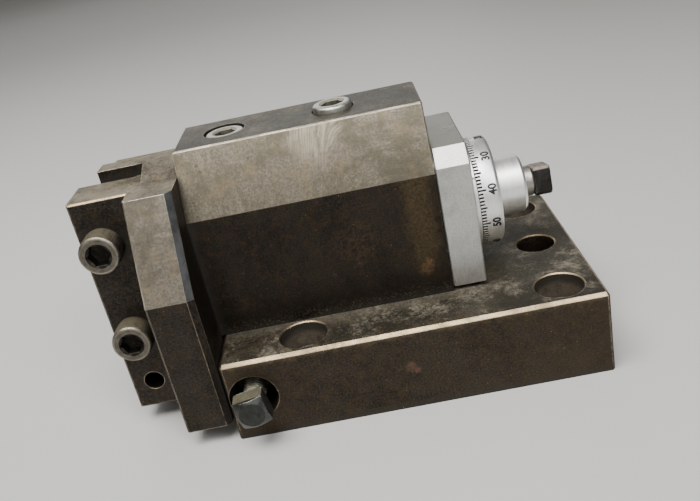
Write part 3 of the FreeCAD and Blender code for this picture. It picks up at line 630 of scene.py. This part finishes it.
def block_rule(n, c):
    """Top, leaning ground faces, chamfers at the top and the right end, and the sides."""
    near_top = c.z > NEAR_BLOCK_TOP
    if n.z > 0.95 and near_top:
        return BLOCK_TOP
    leaning = abs(n.y) > 0.8 and n.z > 0.2
    if leaning and abs(n.x) < 0.1:
        return GROUND
    if near_top or (n.x > 0.5 and n.y < -0.3 and n.z > 0.1):
        return PALE_EDGE
    return BLOCK_SIDE


def head_rule(n, c):
    """Leaning ground front, top, the front's two long chamfers, and the sides."""
    if n.y < -0.8 and n.z > 0.2 and abs(n.x) < 0.1:
        return GROUND_HEAD
    if n.z > 0.8 and c.z > NEAR_HEAD_TOP:
        return HEAD_TOP
    leaning_front = n.y < -0.3 and n.z > 0.1
    if n.x > 0.5 and leaning_front:
        return BLUE_SHEEN_EDGE
    if n.x < -0.5 and leaning_front:
        return PALE_EDGE
    return HEAD_SIDE


def cap_rule(n, c):
    """Top, its front chamfer, and the sides."""
    near_top = c.z > NEAR_CAP_TOP
    if n.z > 0.95 and near_top:
        return HEAD_TOP
    if n.z > 0.5 and n.y < -0.5 and near_top:
        return EDGE
    return HEAD_SIDE


def bracket_rule(n, _):
    """Darker top, and the rest."""
    return PLATE_TOP if n.z > 0.95 else PLATE_ALU


paint("base_plate", BASE_SIDE, BASE_TOP, EDGE, SWARF, BORE, rule=base_rule)
paint("slide_block", BLOCK_SIDE, GROUND, BLOCK_TOP, PALE_EDGE, rule=block_rule)
paint("tool_head", HEAD_SIDE, GROUND_HEAD, HEAD_TOP, BLUE_SHEEN_EDGE, PALE_EDGE, rule=head_rule)
paint("clamp_cap", HEAD_SIDE, HEAD_TOP, EDGE, rule=cap_rule)
paint("end_bracket", PLATE_ALU, PLATE_TOP, rule=bracket_rule)
for node_name in ("index_ring", "dial_hub"):
    paint(node_name, TURNED_ALU)
for node_name in ("dial_set_screw", "bracket_screws", "nut_post_screws", "head_screws_front",
                  "head_screws_rear"):
    paint(node_name, DARK_SCREW)
for node_name in ("feed_nut_post", "t_guide_bar", "thrust_collar", "head_dowels"):
    paint(node_name, MACHINED)
for node_name in ("feed_nut", "lock_pad", "screw_bush", "thrust_washer"):
    paint(node_name, BRONZE)
paint("dial_friction_ring", RUBBER)


# ---------------------------------------------------------------- mesh builders

ROUND_SEGMENTS = 144


def stacked(name, rings, to_world, materials, part_of=None, last_part=0):
    """Closed turned body through rings of (height, radius or radius function of the angle).

    to_world maps (radius, angle, height) to a point in mm. part_of(level) gives the index of
    the material between a ring and the next; last_part is that of the closing face.
    """
    points, faces, parts = [], [], []
    for height, radius in rings:
        for i in range(ROUND_SEGMENTS):
            angle = math.tau * i / ROUND_SEGMENTS
            size = radius(angle) if callable(radius) else radius
            points.append(to_world(size, angle, height))
    for level in range(len(rings) - 1):
        a = level * ROUND_SEGMENTS
        b = a + ROUND_SEGMENTS
        for i in range(ROUND_SEGMENTS):
            j = (i + 1) % ROUND_SEGMENTS
            faces.append((a + i, a + j, b + j, b + i))
            parts.append(part_of(level) if part_of else 0)
    for level, first in ((0, True), (len(rings) - 1, False)):
        centre = len(points)
        points.append(to_world(0.0, 0.0, rings[level][0]))
        for i in range(ROUND_SEGMENTS):
            a = level * ROUND_SEGMENTS + i
            b = level * ROUND_SEGMENTS + (i + 1) % ROUND_SEGMENTS
            faces.append((b, a, centre) if first else (a, b, centre))
            parts.append(0 if first else last_part)
    return solid(name, points, faces, parts, materials)


def solid(name, points, faces, parts, materials, smooth_angle=LOOK_SMOOTH_ANGLE):
    """Object from points in mm; parts gives each face's material."""
    mesh = bpy.data.meshes.new(name)
    mesh.from_pydata([Vector(p) * MM for p in points], [], faces)
    for material in materials:
        mesh.materials.append(material)
    mesh.polygons.foreach_set("material_index", parts)
    mesh.update()
    made = bpy.data.objects.new(name, mesh)
    bpy.context.scene.collection.objects.link(made)
    mesh.polygons.foreach_set("use_smooth", [True] * len(mesh.polygons))
    split = made.modifiers.new("split", "EDGE_SPLIT")
    split.split_angle = math.radians(smooth_angle)
    return made


def along(origin, axis):
    """to_world for a body turned about an axis through origin: height runs along the axis."""
    origin, axis = Vector(origin), Vector(axis)
    side = Vector((1, 0, 0)) if abs(axis.x) < 0.9 else Vector((0, -1, 0))
    up = axis.cross(side)

    def place(radius, angle, height):
        across = side * (radius * math.cos(angle))
        return origin + axis * height + across + up * (radius * math.sin(angle))
    return place


def hexagonal(width):
    """Radius of a hexagon across its flats, by angle."""
    def radius(angle):
        part = math.degrees(angle) % 60.0 - 30.0
        return width / 2 / math.cos(math.radians(part))
    return radius


def square(half, turn):
    """Radius of a square whose flats lie half mm from its middle, by angle."""
    def radius(angle):
        turned = angle + math.radians(turn)
        return half / max(abs(math.cos(turned)), abs(math.sin(turned)))
    return radius


def limited(outline, limit):
    """Outline whose corners are turned down to a radius."""
    return lambda angle: min(outline(angle), limit)


def threaded(major, depth, pitch, height):
    """Radius of a V thread at one height."""
    def radius(angle):
        phase = (height / pitch - angle / math.tau) % 1.0
        return major - depth * abs(2.0 * phase - 1.0)
    return radius


def knurled(radius, depth, teeth):
    """Radius of a knurled cylinder, by angle."""
    def at(angle):
        return radius - depth * (0.5 - 0.5 * math.cos(teeth * angle))
    return at


M6 = dict(pitch=1.0, thread_r=2.95, head_r=5.0, head_h=6.0, key=5.0, key_depth=3.2)
THREAD_STEPS = 6
KNURL_DEPTH, KNURL_TEETH = 0.09, 48
SEAT_GAP = 0.04


def thread_rings(major, pitch, start, end, depth=None):
    """Rings of a thread from start to end, with a chamfered tip at start."""
    depth = depth or 0.55 * pitch
    core = major - depth
    rings = [(start, core - 0.15)]
    steps = max(2, int((end - start) / pitch * THREAD_STEPS))
    for k in range(1, steps):
        height = start + (end - start) * k / steps
        fade = min(1.0, (height - start) / (0.8 * pitch))
        thread = threaded(major, depth, pitch, height)
        rings.append((height, lambda a, t=thread, f=fade: core + (t(a) - core) * f))
    rings.append((end, major - depth * 0.5))
    return rings


def socket_screw(name, origin, outward, length, materials, pitch, thread_r, head_r, head_h, key,
                 key_depth):
    """Knurled socket-head screw with its seat at origin and its head towards outward.

    materials are those of its body, its socket and the rim of its head.
    """
    body, socket, rim = range(3)
    knurl = knurled(head_r, KNURL_DEPTH, KNURL_TEETH)
    mouth = key / 2 / math.cos(math.radians(30.0)) + 0.3
    rings = thread_rings(thread_r, pitch, -length, -0.4)
    rings += [(SEAT_GAP, thread_r), (SEAT_GAP, head_r - 0.35), (0.3, head_r - 0.06),
              (0.42, knurl), (head_h - 0.85, knurl),
              (head_h - 0.72, head_r - 0.06), (head_h - 0.5, head_r - 0.09),
              (head_h - 0.16, head_r - 0.36), (head_h, head_r - 0.75)]
    mouth_level = len(rings)
    rings += [(head_h, mouth), (head_h - 0.38, hexagonal(key)),
              (head_h - key_depth, hexagonal(key)), (head_h - key_depth - 0.5, 0.4)]

    def part_of(level):
        if level >= mouth_level:
            return socket
        return rim if mouth_level - 3 <= level <= mouth_level - 2 else body

    return stacked(name, rings, along(origin, outward), materials, part_of, last_part=socket)


# ---------------------------------------------------------------- socket-head screws

def middle(node):
    """Centre, low corner and high corner of a piece's box, in mm."""
    low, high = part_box(node)
    return (low + high) / 2 / MM, low / MM, high / MM


for node_name in ("slide_lock_screw_left", "slide_lock_screw_right"):
    centre, low, high = middle(node_name)
    seat = high.z - M6["head_h"]
    screw = socket_screw(node_name + "_look", (centre.x, centre.y, seat), (0, 0, 1), seat - low.z,
                         [ZINC, DIRTY_SOCKET, ZINC], **M6)
    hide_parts(node_name)
    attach(screw, node_name)

for node_name in ("clamp_screw_lower", "clamp_screw_upper"):
    centre, low, high = middle(node_name)
    seat = low.y + M6["head_h"]
    screw = socket_screw(node_name + "_look", (centre.x, seat, centre.z), (0, -1, 0),
                         high.y - seat, [WORN_SCREW, SHADED_SOCKET, RIM], **M6)
    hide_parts(node_name)
    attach(screw, node_name)

# ---------------------------------------------------------------- side lock bolt

BOLT_HALF, BOLT_HEAD, BOLT_TURN = 3.75, 5.2, -10.0
BOLT_CROWN, BOLT_END, CROWN_STEPS = 1.4, 3.2, 10

centre, low, high = middle("lock_bolt")
corner_r = BOLT_HALF * math.sqrt(2.0)
outline = square(BOLT_HALF, BOLT_TURN)
head_start = high.y - low.y - BOLT_HEAD
crown_start = head_start + BOLT_HEAD - BOLT_CROWN
bolt_rings = thread_rings(M6["thread_r"], M6["pitch"], 0.0, head_start)
bolt_rings += [(head_start, limited(outline, corner_r - 0.5)),
               (head_start + 0.25, limited(outline, corner_r - 0.12)),
               (crown_start, limited(outline, corner_r - 0.12))]
for step in range(1, CROWN_STEPS + 1):
    part = step / CROWN_STEPS
    limit = corner_r - (corner_r - BOLT_END) * part
    bolt_rings.append((crown_start + (BOLT_CROWN - 0.04) * part, limited(outline, limit)))
face_level = len(bolt_rings) - 1
bolt_rings.append((head_start + BOLT_HEAD, BOLT_END - 0.1))


def bolt_part(level):
    """Head and thread 0, end face 1, crown 2."""
    if level >= face_level:
        return 1
    return 2 if level > face_level - CROWN_STEPS else 0


bolt = stacked("lock_bolt_look", bolt_rings, along((centre.x, high.y, centre.z), (0, -1, 0)),
               [BOLT_ZINC, BOLT_FACE, BOLT_CROWN_STEEL], bolt_part, last_part=1)
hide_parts("lock_bolt")
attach(bolt, "lock_bolt")

# ---------------------------------------------------------------- feed screw

SQUARE_HALF, SQUARE_CORNER, SQUARE_TURN = 3.75, 4.8, 12.0
THREAD_R, LEAD, THREAD_DEPTH, THREAD_END = 3.95, 1.0, 0.5, 12.6
JOURNAL_R, NECK_R, NECK_LENGTH = 3.98, 4.0, 2.5

centre, low, high = middle("feed_screw")
hub_low, hub_high = (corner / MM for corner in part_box("dial_hub"))
axis_y = 0.0
axis_z = (hub_low.z + hub_high.z) / 2


def squared(scale=1.0):
    """Outline of the square end, its corners turned down."""
    corners = limited(square(SQUARE_HALF, SQUARE_TURN), SQUARE_CORNER)
    return lambda angle: corners(angle) * scale


neck_end = hub_high.x + NECK_LENGTH
screw_rings = thread_rings(THREAD_R, LEAD, low.x, THREAD_END, THREAD_DEPTH)
screw_rings += [(THREAD_END + 0.2, JOURNAL_R), (hub_high.x - 0.9, JOURNAL_R),
                (hub_high.x + 0.1, NECK_R), (neck_end - 0.3, NECK_R), (neck_end, NECK_R - 0.25)]
square_level = len(screw_rings) - 1
screw_rings += [(neck_end, squared(0.93)), (neck_end + 0.35, squared()), (high.x - 0.5, squared()),
                (high.x - 0.12, squared(0.94)), (high.x, squared(0.87))]
feed = stacked("feed_screw_look", screw_rings, along((0.0, axis_y, axis_z), (1, 0, 0)),
               [MACHINED, SQUARE_STEEL], lambda level: 1 if level >= square_level else 0,
               last_part=1)
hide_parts("feed_screw")
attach(feed, "feed_screw")

# ---------------------------------------------------------------- graduated dial

TICKS, ZERO_TURN, TICK_DEPTH = 100, 21.5, 0.16
SHORT, MEDIUM, LONG = 1.15, 1.6, 1.95
SPIGOT_R = 6.05
# Corners of one tick's share of the ring, in degrees from the tick; the last four bound its groove.
TICK_OFFSETS = (-1.8, -0.98, -0.86, 0.86, 0.98)

centre, low, high = middle("dial_ring")
DIAL_R = (high.z - low.z) / 2
width = high.x - low.x
count = TICKS * len(TICK_OFFSETS)
tick_lengths = [LONG if k % 10 == 0 else MEDIUM if k % 5 == 0 else SHORT for k in range(TICKS)]


def dial_point(radius, degrees, x):
    """Point of the dial in mm, degrees turned up from the front."""
    turn = math.radians(degrees)
    return (x, axis_y - radius * math.cos(turn), axis_z + radius * math.sin(turn))


def groove_radius(tick, corner, distance):
    """Radius of the ring's outside at a tick's corner, at a distance from its left edge."""
    grooved = corner in (2, 3) and distance <= tick_lengths[tick] + 1e-6
    return DIAL_R - TICK_DEPTH if grooved else DIAL_R


# (distance from the left edge, radius); the radius is None where the ticks are cut.
levels = [(distance, None) for distance in
          (0.0, SHORT, SHORT + 0.04, MEDIUM, MEDIUM + 0.04, LONG, LONG + 0.04)]
levels += [(width - 1.0, DIAL_R), (width - 0.7, DIAL_R - 0.12), (width - 0.35, DIAL_R - 0.42),
           (width - 0.1, DIAL_R - 0.8), (width, DIAL_R - 1.05), (width, SPIGOT_R),
           (0.0, SPIGOT_R)]
dial_points, dial_faces, dial_parts = [], [], []
for distance, radius in levels:
    for tick in range(TICKS):
        for corner, offset in enumerate(TICK_OFFSETS):
            size = groove_radius(tick, corner, distance) if radius is None else radius
            degrees = ZERO_TURN + (tick * 360.0 / TICKS) + offset
            dial_points.append(dial_point(size, degrees, low.x + distance))
for level, (distance, radius) in enumerate(levels):
    a = level * count
    b = (level + 1) % len(levels) * count
    for i in range(count):
        j = (i + 1) % count
        dial_faces.append((a + i, a + j, b + j, b + i))
        tick, corner = divmod(i, len(TICK_OFFSETS))
        inked = corner in (1, 2, 3) and radius is None and distance < tick_lengths[tick] + 0.01
        dial_parts.append(1 if inked else 0)
dial = solid("dial_ring_look", dial_points, dial_faces, dial_parts, [TURNED_ALU, INK],
             smooth_angle=DIAL_SMOOTH_ANGLE)
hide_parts("dial_ring")
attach(dial, "dial")

DIGIT_HEIGHT, DIGIT_MIDDLE = 1.95, 3.55
CAPITAL_SHARE = 0.7
DIGIT_RELIEF, DIGIT_SWELL = 0.045, 0.085
NUMBERS, NUMBER_IN_FRONT = 10, 4

for label in range(NUMBERS):
    name = f"dial_number_{label * 10}"
    curve = bpy.data.curves.new(name, "FONT")
    curve.body = str(label * 10)
    curve.size = DIGIT_HEIGHT / CAPITAL_SHARE
    curve.align_x = "CENTER"
    curve.extrude = DIGIT_RELIEF
    curve.resolution_u = 4
    curve.offset = DIGIT_SWELL
    text = bpy.data.objects.new(name, curve)
    bpy.context.scene.collection.objects.link(text)
    bpy.context.view_layer.update()
    evaluated = text.evaluated_get(bpy.context.evaluated_depsgraph_get())
    mesh = bpy.data.meshes.new_from_object(evaluated)
    heights = [v.co.y for v in mesh.vertices]
    shift = (max(heights) + min(heights)) / 2
    number_turn = ZERO_TURN + (label - NUMBER_IN_FRONT) * -360.0 / NUMBERS
    for v in mesh.vertices:
        degrees = number_turn + math.degrees(v.co.x / DIAL_R)
        x = low.x + DIGIT_MIDDLE - (v.co.y - shift)
        v.co = Vector(dial_point(DIAL_R + v.co.z, degrees, x)) * MM
    mesh.materials.clear()
    mesh.materials.append(INK)
    bpy.data.objects.remove(text)
    number = bpy.data.objects.new(name, mesh)
    bpy.context.scene.collection.objects.link(number)
    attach(number, "dial")

for node_name, node in NODES.items():
    if not node.hide_render:
        soften(node_name)


# ---------------------------------------------------------------- table, light and camera

# The table's profile, in metres.
FLAT_R, SWEEP_R, WALL_TOP = 1.4, 1.6, 2.4
SWEEP_STEPS, TABLE_SEGMENTS = 16, 96


def table_bowl(name, material):
    """Flat table that sweeps up, far away, into a round backdrop."""
    profile = [(0.5, 0.0), (FLAT_R, 0.0)]
    for k in range(1, SWEEP_STEPS + 1):
        angle = math.radians(90.0 * k / SWEEP_STEPS)
        profile.append((FLAT_R + SWEEP_R * math.sin(angle), SWEEP_R * (1.0 - math.cos(angle))))
    profile.append((FLAT_R + SWEEP_R, WALL_TOP))
    points, faces = [(0.0, 0.0, 0.0)], []
    for radius, height in profile:
        for i in range(TABLE_SEGMENTS):
            angle = math.tau * i / TABLE_SEGMENTS
            points.append((radius * math.cos(angle), radius * math.sin(angle), height))
    for i in range(TABLE_SEGMENTS):
        faces.append((0, 1 + i, 1 + (i + 1) % TABLE_SEGMENTS))
    for level in range(len(profile) - 1):
        a = 1 + level * TABLE_SEGMENTS
        b = a + TABLE_SEGMENTS
        for i in range(TABLE_SEGMENTS):
            j = (i + 1) % TABLE_SEGMENTS
            faces.append((a + i, b + i, b + j, a + j))
    mesh = bpy.data.meshes.new(name)
    mesh.from_pydata(points, [], faces)
    mesh.polygons.foreach_set("use_smooth", [True] * len(mesh.polygons))
    mesh.materials.append(material)
    made = bpy.data.objects.new(name, mesh)
    bpy.context.scene.collection.objects.link(made)
    made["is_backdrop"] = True


floor = Graph("pale_table")
pale = floor.mix(floor.noise(160.0, 2.0), (0.50, 0.50, 0.488), (0.53, 0.53, 0.518))
# Painted light falloff: the table darkens with distance from a point at the front left, as if lit
# most there.
away = floor.vector_math("DISTANCE", floor.mm, (-260.0, -200.0, 0.0))
table_falloff_color = floor.mix(floor.smooth(away, 260.0, 1000.0), pale, (0.27, 0.265, 0.255))
table_bowl("table", floor.finish(table_falloff_color, 0.5, 0.0))


def softbox(name, place, target, width, height, power, tone=(1.0, 1.0, 1.0)):
    """Rectangular soft light in metres and watts, aimed at target."""
    data = bpy.data.lights.new(name, "AREA")
    data.shape = "RECTANGLE"
    data.size, data.size_y = width, height
    data.energy = power
    data.color = tone
    light = bpy.data.objects.new(name, data)
    light.location = place
    aim = Vector(target) - Vector(place)
    light.rotation_euler = aim.to_track_quat("-Z", "Y").to_euler()
    bpy.context.scene.collection.objects.link(light)


softbox("overhead", (-0.18, -0.34, 1.0), (0, 0, 0), 0.9, 0.5, 19.0, (1.0, 0.98, 0.945))
softbox("behind_camera", (-0.05, -1.25, 0.55), (0, 0, 0.04), 1.5, 0.45, 3.2, (1.0, 0.97, 0.93))
softbox("right", (0.55, -0.75, 0.80), (0.02, 0, 0.04), 0.35, 0.3, 5.0, (0.97, 0.99, 1.0))
softbox("back", (-0.3, 1.4, 0.6), (0, 0, 0.05), 1.2, 0.4, 4.5)

world = bpy.data.worlds.new("studio")
world.use_nodes = True
sky = world.node_tree.nodes["Background"]
sky.inputs["Color"].default_value = (0.62, 0.62, 0.61, 1.0)
sky.inputs["Strength"].default_value = 0.5
bpy.context.scene.world = world

# The photograph's camera: place in mm, direction, roll in degrees and focal length in mm.
CAMERA_PLACE = (-1.35, -196.52, 122.61)
CAMERA_LOOK = (-0.04897, 0.90442, -0.42382)
CAMERA_ROLL = -12.48
CAMERA_LENS = 41.32

camera_data = bpy.data.cameras.new("camera")
camera_data.sensor_width = 36.0
camera_data.lens = CAMERA_LENS
camera_data.clip_start = 0.01
camera = bpy.data.objects.new("camera", camera_data)
aimed = Vector(CAMERA_LOOK).to_track_quat("-Z", "Y").to_matrix()
rolled = aimed @ Matrix.Rotation(math.radians(CAMERA_ROLL), 3, "Z")
camera.matrix_world = Matrix.Translation(Vector(CAMERA_PLACE) * MM) @ rolled.to_4x4()
bpy.context.scene.collection.objects.link(camera)
bpy.context.scene.camera = camera

low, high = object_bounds()
{"cad": [list(cad_low), list(cad_high)], "look": [list(low), list(high)]}
